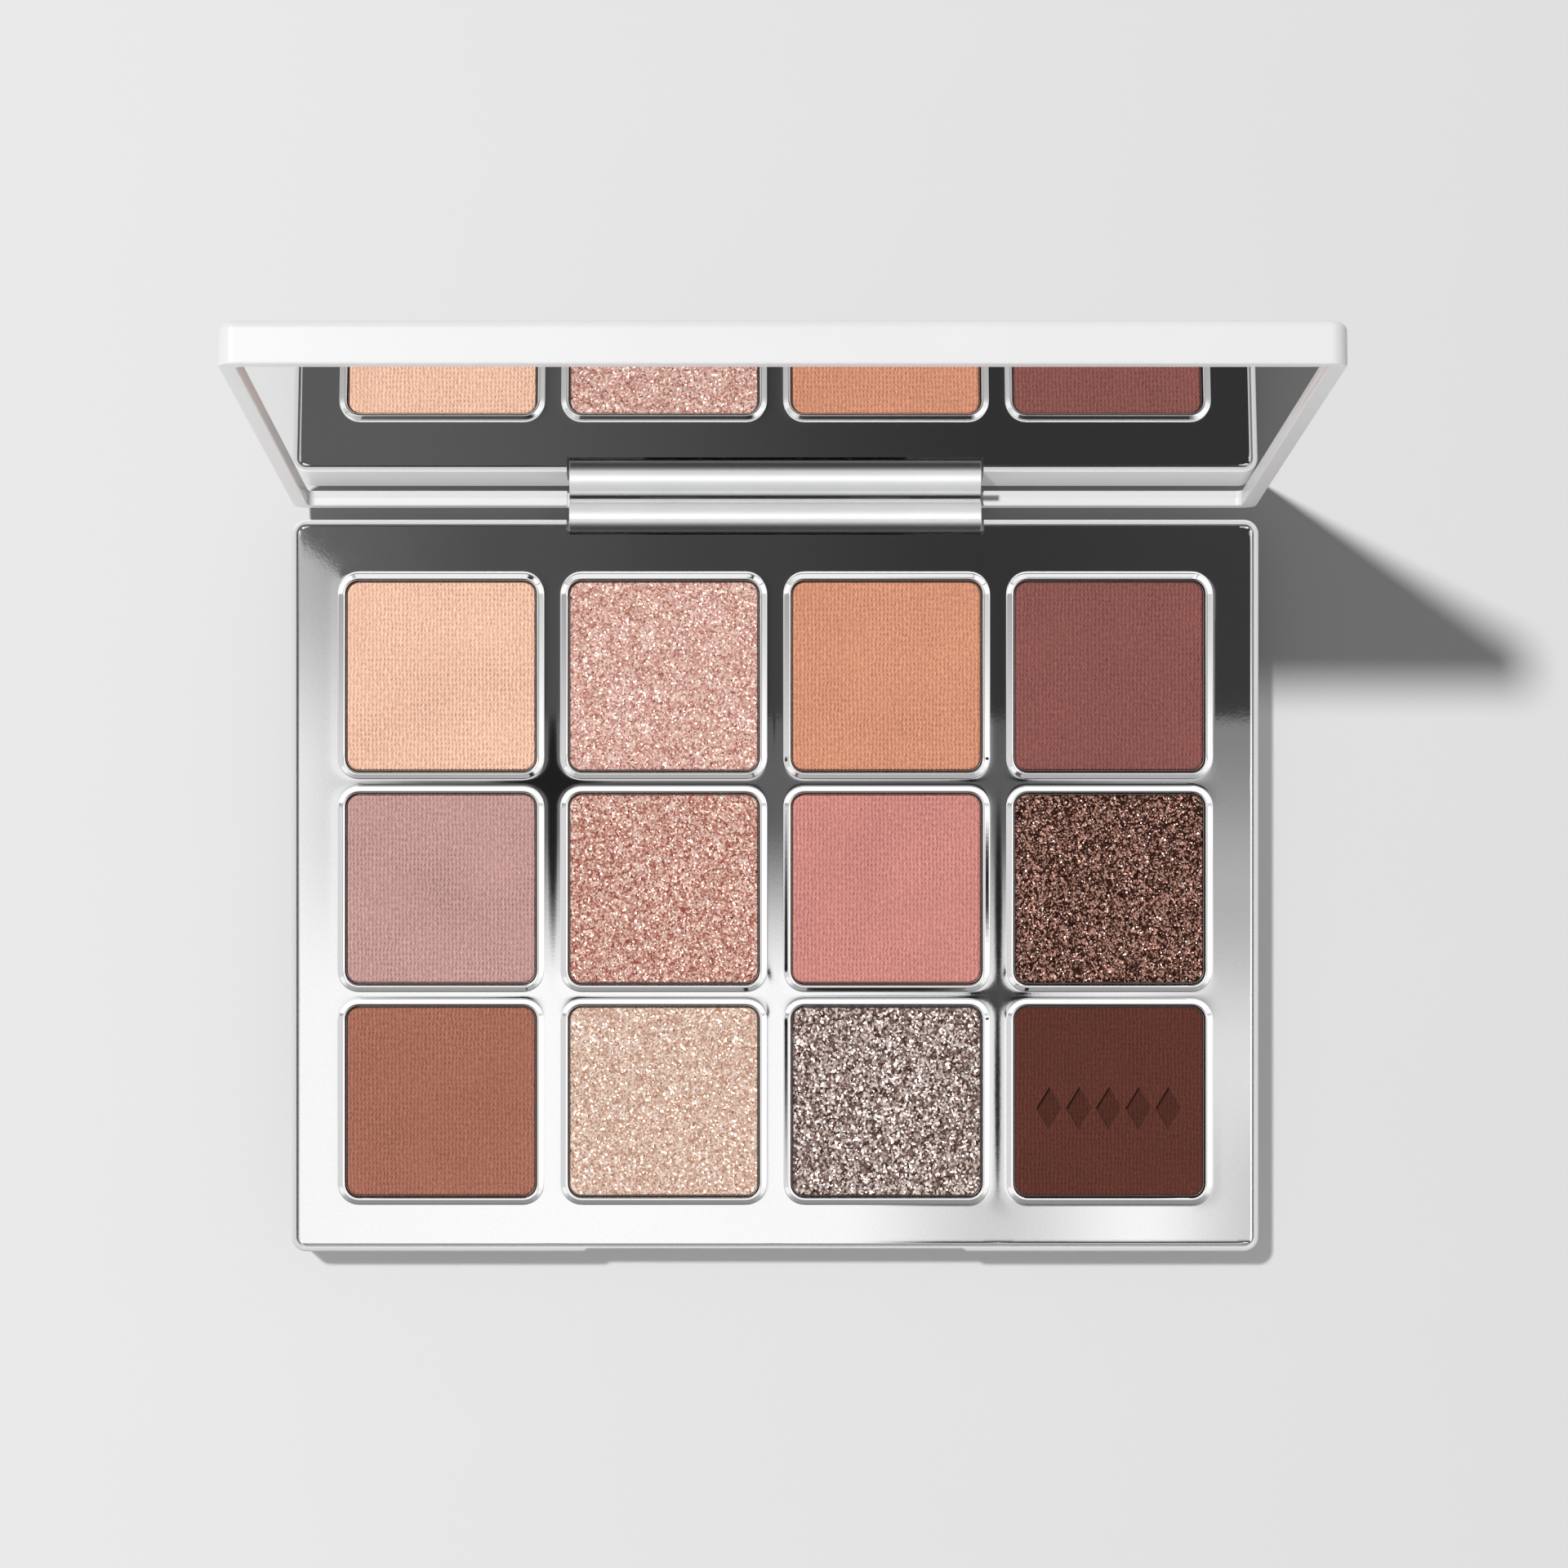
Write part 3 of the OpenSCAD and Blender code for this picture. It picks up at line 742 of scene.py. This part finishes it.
def powder(shade, i, material, grid=90, unevenness=0.012, grit=0.0, embossed=False):
    """Pressed powder with a softly rounded, slightly uneven face."""
    node = f"shadow_{shade}"
    low, high = box_mm(node)
    half = (high[0] - low[0]) / 2
    centre = (low + high)[:2] / 2
    r = WELL_R - (WELL_W - PAN_W) / 2 - PAN_T
    rng = np.random.default_rng(100 + i)
    spread = np.linspace(-1, 1, grid)
    spread = np.sign(spread) * (1 - (1 - np.abs(spread)) ** 1.12)
    x, y = np.meshgrid(spread * half, spread * half, indexing="ij")
    qx, qy = np.abs(x) - (half - r), np.abs(y) - (half - r)
    length = np.hypot(np.maximum(qx, 0), np.maximum(qy, 0))
    over = (qx > 0) & (qy > 0) & (length > 0)
    reach = np.maximum(qx, qy)
    scale = np.where(over, reach / np.maximum(length, 1e-9), 1)
    x = np.where(over, np.sign(x) * (half - r + qx * scale), x)
    y = np.where(over, np.sign(y) * (half - r + qy * scale), y)
    qx, qy = np.abs(x) - (half - r), np.abs(y) - (half - r)
    inside = r - np.hypot(np.maximum(qx, 0), np.maximum(qy, 0)) - np.minimum(np.maximum(qx, qy), 0)
    over = np.clip((POWDER_EDGE_R - inside) / POWDER_EDGE_R, 0, 1)
    z = high[2] - POWDER_EDGE_R * (1 - np.sqrt(np.clip(1 - over ** 2, 0, 1)))
    broad, narrow = smooth_noise(grid, 5, rng), smooth_noise(grid, 14, rng)
    z -= unevenness * (1 + broad) + 0.5 * unevenness * (1 + narrow)
    if grit:
        z -= grit * (1 + rng.uniform(-1, 1, (grid, grid))) * smoothstep(inside, 0, 0.3)
    if embossed:
        z -= EMBOSS_H * motif(x, y)
    top = np.column_stack([x.ravel() + centre[0], y.ravel() + centre[1], z.ravel()])
    index = np.arange(grid * grid).reshape(grid, grid)
    faces = [(index[a, b], index[a + 1, b], index[a + 1, b + 1], index[a, b + 1])
             for a in range(grid - 1) for b in range(grid - 1)]
    rim = list(index[:-1, 0]) + list(index[-1, :-1]) + list(index[:0:-1, -1]) + list(index[0, :0:-1])
    foot = top[rim].copy()
    foot[:, 2] = low[2]
    start = len(top)
    count = len(rim)
    faces += [(rim[k], rim[(k + 1) % count], start + (k + 1) % count, start + k) for k in range(count)]
    faces.append(tuple(start + k for k in range(count)))
    cake = make(f"powder_{shade}", (np.concatenate([top, foot]), faces), material, sharp=60)
    place(cake, "base", node, slot=node)
    return cake


def flakes(shade, i, material, count, size, lean):
    """Loose platelets on a glitter's face, each with its own size, turn and lean."""
    low, high = box_mm(f"shadow_{shade}")
    centre = (low + high)[:2] / 2
    half = (high[0] - low[0]) / 2 - 0.45
    rng = np.random.default_rng(500 + i)
    at = rng.uniform(-half, half, (count, 2))
    width = size * rng.lognormal(0, 0.35, count).clip(0.5, 2.2)
    turn = rng.uniform(0, 2 * math.pi, count)
    tilt = np.radians(lean) * rng.normal(0, 0.5, (count, 2))
    corners = 6
    verts, faces = [], []
    for k in range(count):
        angles = turn[k] + np.arange(corners) * 2 * math.pi / corners
        dx, dy = np.cos(angles) * width[k] / 2, np.sin(angles) * width[k] / 2
        dz = dx * math.tan(tilt[k, 0]) + dy * math.tan(tilt[k, 1])
        z = high[2] - 0.002 + dz - dz.max()
        verts.append(np.column_stack([dx + at[k, 0] + centre[0], dy + at[k, 1] + centre[1], z]))
        faces.append(tuple(range(k * corners, (k + 1) * corners)))
    mesh = bpy.data.meshes.new(f"flakes_{shade}")
    mesh.from_pydata((np.concatenate(verts) * MM).tolist(), [], faces)
    mesh.materials.append(material)
    obj = bpy.data.objects.new(f"flakes_{shade}", mesh)
    bpy.context.scene.collection.objects.link(obj)
    return place(obj, "base", slot=f"shadow_{shade}")


# ---- lid ----

LID_D = BASE_D + LID_OVERHANG
LID_MID_Y = (LID_OVERHANG - BASE_D) / 2


def lid_ring(inset, z, shrink=0.53):
    """One outline of the closed lid, drawn in by inset, about the axis."""
    points = outline(BASE_W - 2 * inset, LID_D - 2 * inset, max(CORNER_R - shrink * inset, 0.3))
    return ring(points + (0, LID_MID_Y), z)


def lid_cover(material):
    """White cover: rounded outer edges, a flat rim and a pocket for the mirror."""
    outer_r, rim_r, inner_r = 0.95, 0.22, 0.2
    top = LID_RIM_Z + LID_T
    rings = [lid_ring(outer_r + c, top - outer_r + s) for c, s in arc_profile(outer_r, 90, 180, 8)]
    rings += [lid_ring(rim_r + c, LID_RIM_Z + rim_r + s) for c, s in arc_profile(rim_r, 180, 270, 6)]
    rings += [lid_ring(LID_RIM_W - inner_r + c, LID_RIM_Z + inner_r + s)
              for c, s in arc_profile(inner_r, 270, 360, 6)]
    rings += [lid_ring(LID_RIM_W, top - LID_TOP_T)]
    cover = make("white_lid_cover", loft(rings), material)
    channel = barrel_channel((0, 0))
    flange_y = LID_OVERHANG - LID_RIM_W + FLANGE_T + 0.1
    side = BARREL_L / 2 + BARREL_ROOM
    slot = box_mesh((-side, 0, 0), (side, flange_y, top - LID_TOP_T + 0.001))
    cut(cover, channel, slot)
    swing_open(cover)
    return place(cover, "lid", "lid_cover", slot="white_plastic")


def mirror(material):
    """Flat glass with a narrow ground bevel."""
    front = LID_RIM_Z + MIRROR_RECESS
    inset = LID_RIM_W + MIRROR_GAP
    bevel = 0.08
    rings = [lid_ring(inset + bevel, front), lid_ring(inset, front + bevel * 0.7),
             lid_ring(inset, front + MIRROR_T)]
    glass = make("mirror_glass", on_lid(loft(rings)), material, smooth=False)
    return place(glass, "lid", "mirror", slot="mirror")


def barrel_ring(x, r, angles):
    """A circle whose side towards the mirror swells into a shoulder; it fades out below the axis."""
    y, z = r * np.cos(angles), r * np.sin(angles)
    if r > PIN_R:
        swell = (LID_RIM_Z + MIRROR_RECESS - BARREL_SHY) / BARREL_R - 1
        z = np.where(z > 0, z * (1 + swell * np.clip(1 - y / SHOULDER_END, 0, 1)), z)
    return np.column_stack([np.full(len(angles), x), y, z])


def hinge_barrel(material, slot_shade_steel):
    """Polished barrel with slots for the hinge arms and a flange into the lid, the flange dark as painted
    shade seen through the slots.
    """
    end = BARREL_L / 2
    chamfer = 0.14
    segments = 144
    angles = np.linspace(0, 2 * math.pi, segments, endpoint=False)
    rounding = 0.04
    half = [(end - chamfer, BARREL_R), (end - rounding, BARREL_R - rounding), (end, BARREL_R - chamfer),
            (end, PIN_R)]
    profile = [(-x, r) for x, r in reversed(half)] + half
    rings = [barrel_ring(x, r, angles) for x, r in profile]
    barrel = make("chrome_hinge_barrel", loft(rings, closed=True), material)
    tools = []
    for side in (-1, 1):
        x0, x1 = side * ARM_X - POCKET_W / 2, side * ARM_X + POCKET_W / 2
        tools.append(tube_along_x(POCKET_R, x0, x1, (0, 0)))
        a = np.radians(np.linspace(*SLOT_DEGREES, 25))
        wedge = np.concatenate([[(0, 0)], np.column_stack([np.sin(a), np.cos(a)]) * (BARREL_R + 1)])
        tools.append(loft([np.column_stack([np.full(len(wedge), x), wedge]) for x in (x0, x1)]))
    cut(barrel, *tools)
    swing_open(barrel)
    place(barrel, "lid", "hinge_barrel", slot="barrel_chrome")
    inner_back = LID_OVERHANG - LID_RIM_W
    top = LID_RIM_Z + LID_T - LID_TOP_T
    inner, outer = ARM_X - POCKET_W / 2, ARM_X + POCKET_W / 2
    legs = [box_mesh((x0, inner_back, 1.2), (x1, inner_back + FLANGE_T, top - 0.1))
            for x0, x1 in ((-end, -outer), (-inner, inner), (outer, end))]
    plate = box_mesh((-FLANGE_W / 2, FLANGE_FRONT, top - FLANGE_T),
                     (FLANGE_W / 2, inner_back + FLANGE_T, top))
    # painted shade: the flange and its legs are dark so the slots in the barrel look shaded
    flange = make("barrel_flange", on_lid(joined(plate, *legs)), slot_shade_steel)
    return place(flange, "lid", slot="barrel_chrome")


# ---- room ----


def look_from_above():
    """Camera straight over the palette, at the height that gives the lid its taper."""
    cam = bpy.data.cameras.new("camera")
    cam.lens = 111.0
    cam.sensor_width = 36.0
    cam.shift_x = 0.0335
    cam.clip_start = 0.01
    obj = bpy.data.objects.new("camera", cam)
    obj.location = (-5.43 * MM, 12.61 * MM, 607 * MM)
    bpy.context.scene.collection.objects.link(obj)
    bpy.context.scene.camera = obj


def table():
    """Plain pale table top, with painted shade making it a touch darker to the right."""
    s = Shader("pale_table", Roughness=0.85)
    s.set(s.bsdf, Specular_IOR_Level=0.1)
    # painted shade: the table's colour falls from left to right, as the light does
    across = s.add("ShaderNodeSeparateXYZ", {0: s.coords}).outputs["X"]
    tone = s.add("ShaderNodeMapRange", {"Value": across, "From Min": -0.1, "From Max": 0.1, "To Min": 0.845,
                                        "To Max": 0.758}).outputs[0]
    grain = s.span(s.noise(40, 3), 0.995, 1.005)
    grey = s.add("ShaderNodeCombineXYZ", {0: tone, 1: tone, 2: tone}).outputs[0]
    s.link(s.vector("SCALE", grey, scale=grain), "Base Color")
    s.link(s.bump(s.noise(1500, 3), 0.00002, 0.3), "Normal")
    size = 3000.0
    corners = [(-size, -size, -0.02), (size, -size, -0.02), (size, size, -0.02), (-size, size, -0.02)]
    plane = make("table", (corners, [(0, 1, 2, 3)]), s.mat, smooth=False)
    return plane


def sun(name, strength, spread, travel, receivers=None, blockers=None):
    """A distant light; receivers and blockers limit what it lights and what shades it."""
    light = bpy.data.lights.new(name, "SUN")
    light.energy = strength
    light.angle = math.radians(spread)
    obj = bpy.data.objects.new(name, light)
    obj.rotation_euler = Vector(travel).to_track_quat("-Z", "Y").to_euler()
    bpy.context.scene.collection.objects.link(obj)
    if receivers is not None:
        obj.light_linking.receiver_collection = group(f"{name}_lights", receivers)
    if blockers is not None:
        obj.light_linking.blocker_collection = group(f"{name}_shaded_by", blockers)
    return obj


def group(name, objects):
    """A collection kept out of the scene, for light linking."""
    collection = bpy.data.collections.new(name)
    for obj in objects:
        collection.objects.link(obj)
    return collection


SOFT_LIGHT = 0.20    # the same from all sides, on every surface that isn't shiny
FLAG_V = 0.0135      # where the dark flag overhead begins, as a slope towards the hinge side
FLAG_U = -0.0785     # and towards the left
DARK = 0.014         # brightness of the small dark things overhead
DARK_SPOTS = [       # their slopes u and v, half width and half height
    (0.4155, -0.0217, 0.018, 0.0135), (-0.3535, -0.0435, 0.018, 0.041), (-0.038, -0.005, 0.013, 0.030),
    (0.054, -0.026, 0.009, 0.024), (0.056, -0.062, 0.007, 0.026), (0.030, -0.0415, 0.018, 0.0035),
    (0.011, 0.018, 0.003, 0.010),
]
DARK_BAR = (0.031, -0.406, 0.026, 0.016)   # and one in front, in the same measures


class Surroundings:
    """Node helpers for what shiny surfaces see, over the slopes u (to the right) and v (to the back)."""

    def __init__(self):
        world = bpy.data.worlds.new("studio")
        bpy.context.scene.world = world
        world.use_nodes = True
        self.nodes, self.links = world.node_tree.nodes, world.node_tree.links
        self.nodes.clear()
        split = self.nodes.new("ShaderNodeSeparateXYZ")
        self.links.new(self.nodes.new("ShaderNodeTexCoord").outputs["Generated"], split.inputs[0])
        x, y, z = split.outputs
        up = self.math("MAXIMUM", z, 0.02)
        self.u, self.v = self.math("DIVIDE", x, up), self.math("DIVIDE", y, up)

    def math(self, operation, a, b=0.0, c=0.0):
        """A math node's output."""
        node = self.nodes.new("ShaderNodeMath")
        node.operation = operation
        for k, value in enumerate((a, b, c)):
            feed(self.links, node.inputs[k], value)
        return node.outputs[0]

    def fade(self, value, low, high, start=0.0, end=1.0):
        """A smooth step from start to end as value goes from low to high."""
        node = self.nodes.new("ShaderNodeMapRange")
        node.interpolation_type = "SMOOTHSTEP"
        self.links.new(value, node.inputs["Value"])
        for key, v in (("From Min", low), ("From Max", high), ("To Min", start), ("To Max", end)):
            node.inputs[key].default_value = v
        return node.outputs[0]

    def mix(self, share, a, b):
        """a where share is 0, b where it is 1."""
        node = self.nodes.new("ShaderNodeMix")
        for k, value in ((0, share), (2, a), (3, b)):
            feed(self.links, node.inputs[k], value)
        return node.outputs[0]

    def steps(self, value, *stops):
        """A smooth curve through (place, level) stops."""
        level = stops[0][1]
        for (at, low), (to, high) in zip(stops, stops[1:]):
            level = self.math("ADD", level, self.fade(value, at, to, 0.0, high - low))
        return level

    def spot(self, u, v, width, height):
        """1 in the middle of a soft ellipse, 0 outside."""
        du = self.math("DIVIDE", self.math("SUBTRACT", self.u, u), width)
        dv = self.math("DIVIDE", self.math("SUBTRACT", self.v, v), height)
        square = self.math("ADD", self.math("MULTIPLY", du, du), self.math("MULTIPLY", dv, dv))
        return self.fade(square, 0.2, 1.3, 1.0, 0.0)


def studio():
    """Soft white room; shiny surfaces see an overhead card, a dark flag, a window and a wall in front."""
    w = Surroundings()
    u, v = w.u, w.v
    both = lambda a, b: w.math("MULTIPLY", a, b)
    # overhead card: bright at the front and left, dim under the camera, darker to the right
    card = w.steps(u, (-0.26, 0.74), (-0.16, 0.98), (-0.03, 1.06), (0.02, 1.04), (0.055, 0.70),
                   (0.085, 1.02), (0.11, 0.66), (0.2, 1.2))
    under = w.steps(u, (-0.26, 0.74), (-0.16, 0.94), (-0.092, 0.90), (-0.060, 0.16), (-0.02, 0.13),
                    (0.055, 0.115), (0.085, 0.26), (0.11, 0.22), (0.2, 1.2))
    under = both(under, w.fade(v, 0.0, 0.045, 1.0, 0.58))
    sky = w.mix(w.fade(v, -0.046, -0.006), card, under)
    right = both(w.fade(u, 0.07, 0.10), w.fade(u, 0.115, 0.15, 1.0, 0.0))
    fall = w.steps(v, (-0.057, 0.80), (-0.024, 0.48), (0.010, 0.25))
    sky = w.mix(both(w.fade(v, -0.085, -0.06), right), sky, fall)
    corner = both(w.fade(u, 0.025, 0.045), w.fade(u, 0.13, 0.16, 1.0, 0.0))
    sky = w.mix(both(w.fade(v, -0.125, -0.105, 1.0, 0.0), corner), sky, 0.05)
    sky = w.mix(w.fade(v, -0.165, -0.152, 1.0, 0.0), sky, 1.0)
    for spot in DARK_SPOTS:
        sky = w.mix(w.spot(*spot), sky, DARK)
    # in front of the card a dark strip, and round it a grey wall that falls off into a dark room, which
    # is paler towards the sides
    front = w.steps(v, (-1.0, 0.03), (-0.6, 0.12), (-0.45, 0.30), (-0.36, 0.45), (-0.27, 0.85))
    strip = both(both(w.fade(v, -0.335, -0.325), w.fade(u, -0.18, -0.14)), w.fade(u, 0.14, 0.18, 1.0, 0.0))
    front = w.mix(strip, front, w.steps(u, (-0.09, 0.115), (0.06, 0.035)))
    aside = w.fade(w.math("ABSOLUTE", u), 0.5, 1.2)
    front = w.mix(aside, front, w.steps(v, (-3.0, 0.42), (-0.6, 0.66)))
    front = w.mix(w.spot(*DARK_BAR), front, 0.02)
    sky = w.mix(w.fade(v, -0.278, -0.266, 1.0, 0.0), sky, front)
    # behind: a large soft window
    back = w.steps(v, (0.3, 1.15), (0.9, 1.1), (1.4, 0.95), (4.0, 0.6))
    sky = w.mix(w.fade(v, 0.064, 0.072), sky, back)
    # the flag, cut off on a slant at its left end
    slant = w.math("ADD", u, both(w.fade(v, 0.040, 0.0535), 0.0127))
    left = w.fade(slant, FLAG_U - 0.001, FLAG_U + 0.001)
    flag = both(both(w.fade(v, FLAG_V - 0.0004, FLAG_V + 0.0004), w.fade(v, 0.064, 0.072, 1.0, 0.0)),
                both(left, w.fade(u, 0.112, 0.122, 1.0, 0.0)))
    cloth = w.steps(u, (-0.085, 0.125), (-0.045, 0.08), (0.0, 0.054), (0.05, 0.036), (0.10, 0.042))
    sky = w.mix(flag, sky, cloth)
    shiny = w.nodes.new("ShaderNodeLightPath").outputs["Is Glossy Ray"]
    background = w.nodes.new("ShaderNodeBackground")
    background.inputs["Color"].default_value = (1, 1, 1, 1)
    w.links.new(w.mix(shiny, SOFT_LIGHT, sky), background.inputs["Strength"])
    w.links.new(background.outputs[0], w.nodes.new("ShaderNodeOutputWorld").inputs["Surface"])


KEY = (0.37, -0.34, -1.0)    # the way the key light travels


def lights(floor):
    """Key light from the back left; the open lid shades the table but not the powders."""
    pieces = [o for o in bpy.context.scene.objects
              if o.type == "MESH" and o is not floor and not o.hide_render]
    lid = [o for o in pieces if o.name.startswith(("white_lid", "mirror", "lid_"))]
    low = [o for o in pieces if o not in lid]
    sun("key_on_table", 1.94, 4.0, KEY, [floor])
    sun("key_past_base", 0.78, 4.0, KEY, [floor], lid)
    chrome = [o for o in low if o.name.startswith("chrome_")]
    barrel = [o for o in chrome if o.name == "chrome_hinge_barrel"]
    base = [o for o in low if o.name.startswith("white_base")]
    hidden = [o for o in low if o.name.endswith(("barrel_flange", "hinge_bracket"))]
    white_lid = [o for o in lid if o.name.startswith("white_lid")]
    sun("key_on_palette", 2.72, 2.5, KEY, [o for o in pieces if o not in chrome + base + hidden], low)
    sun("key_on_base", 2.1, 2.5, KEY, base, low)
    sun("back_fill", 1.0, 40.0, (0.1, -0.9, -0.25), base, base)
    sun("front_fill", 1.3, 20.0, (0.25, 0.95, -0.12), white_lid, white_lid)
    sun("hinge_glow", 0.93, 84.0, (0.05, -0.86, -0.8), barrel, barrel)
    for piece in pieces:
        if piece.name.startswith(("white_", "mirror", "chrome_hinge")):
            piece.visible_diffuse = False


# ---- the palette ----

MATTES = {
    "peach": (0.985, 0.590, 0.425),
    "tan": (0.735, 0.322, 0.200),
    "plum": (0.285, 0.101, 0.087),
    "mauve": (0.600, 0.347, 0.317),
    "coral": (0.672, 0.276, 0.238),
    "terracotta": (0.420, 0.165, 0.111),
    "chocolate": (0.120, 0.036, 0.024),
}
# dark, middle and light tones; grain in mm, share and lean of the pressed platelets; colour, count and
# size in mm of the loose ones
SHIMMERS = {
    "pink_shimmer": ((0.405, 0.151, 0.116), (0.684, 0.386, 0.315), (0.9, 0.689, 0.614), 0.21, 0.12, 0.80,
                     (0.90, 0.72, 0.66), 900, 0.16),
    "rose_shimmer": ((0.29, 0.076, 0.049), (0.563, 0.277, 0.213), (0.88, 0.672, 0.59), 0.21, 0.12, 0.80,
                     (0.90, 0.70, 0.64), 1000, 0.16),
    "bronze_shimmer": ((0.011, 0.0025, 0.001), (0.048, 0.016, 0.011), (0.55, 0.30, 0.235), 0.19, 0.14, 0.90,
                       (0.82, 0.58, 0.48), 1200, 0.13),
    "champagne_shimmer": ((0.44, 0.23, 0.158), (0.686, 0.451, 0.349), (0.88, 0.748, 0.647), 0.20, 0.12, 0.70,
                          (0.95, 0.84, 0.74), 700, 0.14),
    "silver_glitter": ((0.049, 0.023, 0.018), (0.211, 0.137, 0.117), (0.753, 0.638, 0.584), 0.25, 0.25, 1.0,
                       (0.85, 0.79, 0.77), 1500, 0.24),
}


def build():
    """Makes every piece and finishes the CAD nodes that stay."""
    white = white_plastic("white_plastic", 0.79)
    chrome = satin_chrome()
    tin = plain_steel("pan_tin", 0.16, 0.3, 0.45)
    # the base's white is a darker copy of the lid's white: painted shade
    base_shell(white_plastic("white_base_plastic", 0.74))
    pan_tray(chrome)
    for i in range(12):
        pressed_pan(i, tin)
    for i, shade in enumerate(SHADES):
        if shade in MATTES:
            material = matte_powder(f"matte_{shade}", MATTES[shade])
            embossed = shade == "chocolate"
            powder(shade, i, material, grid=280 if embossed else 90, embossed=embossed)
        else:
            dark, middle, light, size, share, lean, plate, count, width = SHIMMERS[shade]
            material = shimmer_powder(f"pressed_{shade}", dark, middle, light, size * MM, share, lean)
            powder(shade, i, material, grid=120, unevenness=0.02, grit=0.012)
            flakes(shade, i, loose_flakes(f"platelets_{shade}", plate), count, width, 24)
    lid_cover(white)
    mirror(silvered_glass())
    # the flange's dark steel is painted shade seen through the barrel's slots
    hinge_barrel(polished_chrome(), plain_steel("painted_shade_steel", 0.18, 0.45, 0.6))
    finishes = {
        "hinge_bracket": plain_steel("dark_steel", 0.05, 0.4, 0.55),
        "hinge_pin": plain_steel("drawn_steel", 0.5, 0.25, 0.38),
        "base_magnets": plain_steel("nickel", 0.6, 0.2, 0.3),
        "underside_label": paper(),
        "pan_adhesive": soft_glue(),
        "mirror_carrier": moulded_plate(),
    }
    finishes["lid_magnets"] = finishes["base_magnets"]
    finishes["mirror_adhesive"] = finishes["pan_adhesive"]
    for node, material in finishes.items():
        obj = frame["nodes"][node]
        obj.data.materials.clear()
        obj.data.materials.append(material)


bpy.context.scene.view_settings.view_transform = "Standard"
look_from_above()
studio()
build()
lights(table())
